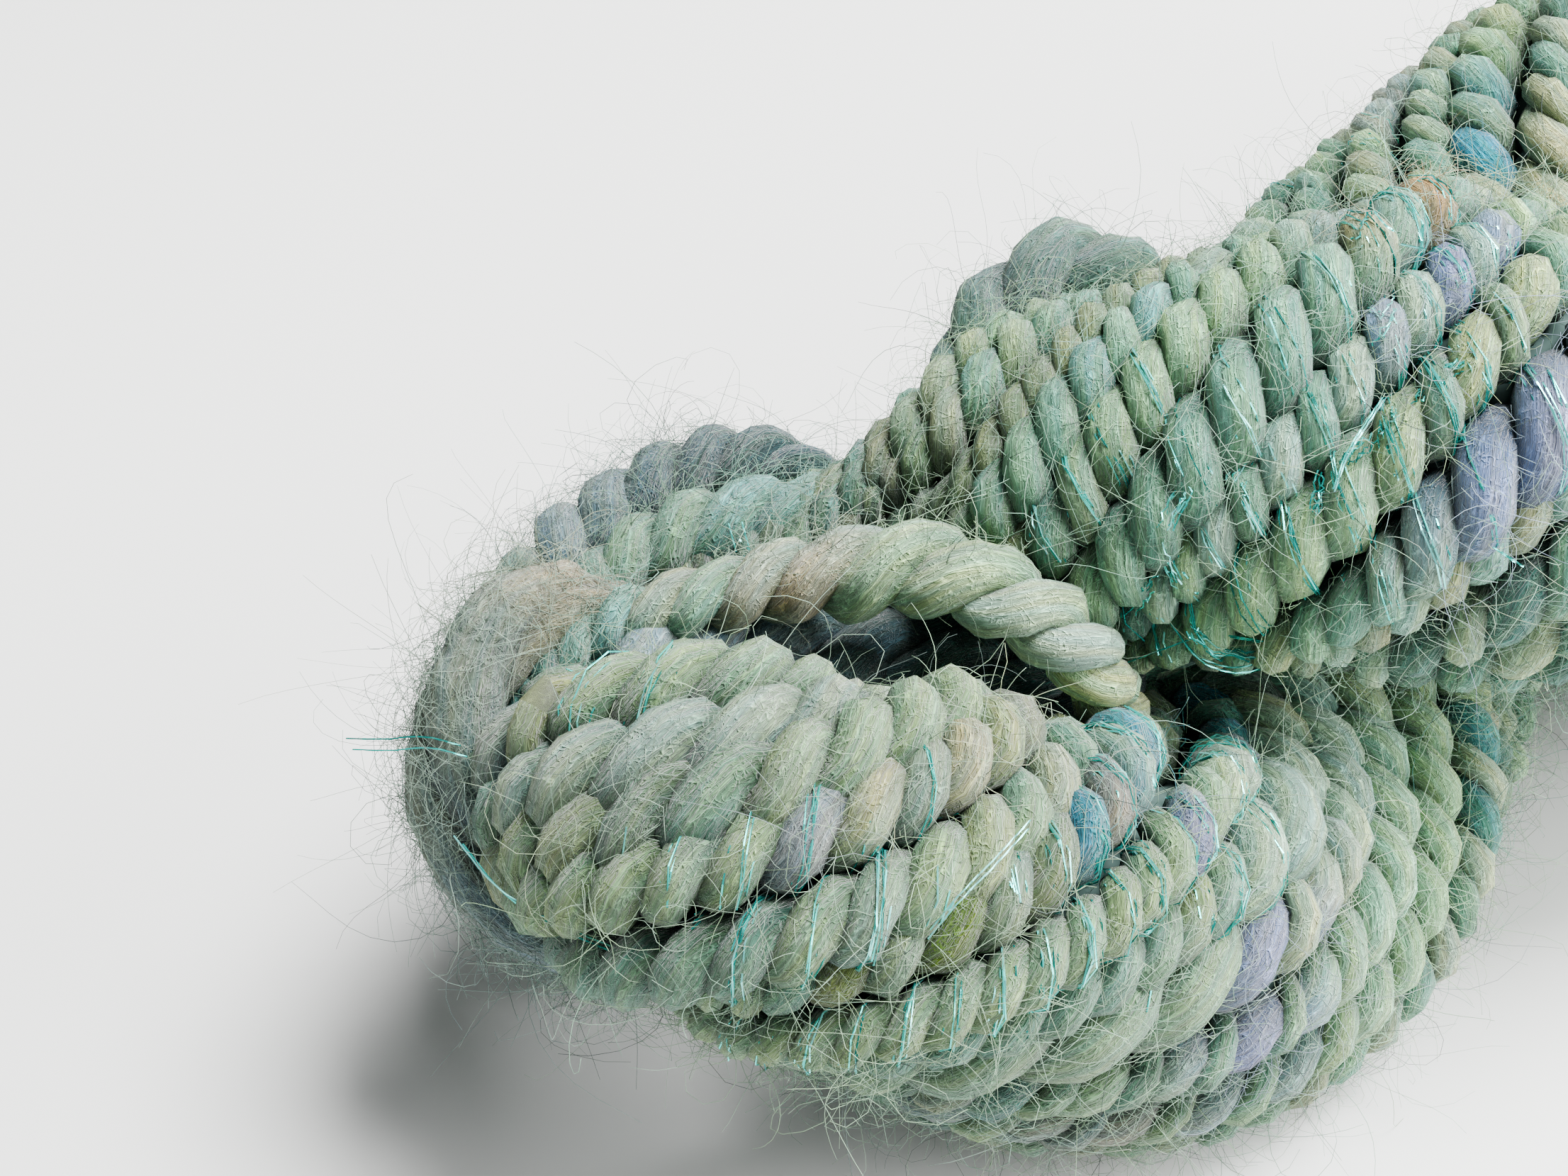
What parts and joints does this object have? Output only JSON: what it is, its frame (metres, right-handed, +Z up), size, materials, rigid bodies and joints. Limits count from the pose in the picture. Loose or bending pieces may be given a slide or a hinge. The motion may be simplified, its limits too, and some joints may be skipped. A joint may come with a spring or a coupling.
{
  "type": "art yarn hank",
  "caption": "Twisted hank of thick and thin hand-spun yarn with soft halo, lying on a surface.",
  "frame": {"origin": "centre of the bounding box, on the surface that the hank lies on", "axes": "+X along the hank, away from its open end with the eye; +Z up from the surface"},
  "size_m": [0.2523, 0.0719, 0.062],
  "materials": {
    "yarn": "fuzzy hand-spun mohair and wool",
    "glitter_thread": "shiny metallised thread"
  },
  "bodies": {
    "root": {"hank": "yarn"}
  },
  "joints": []
}
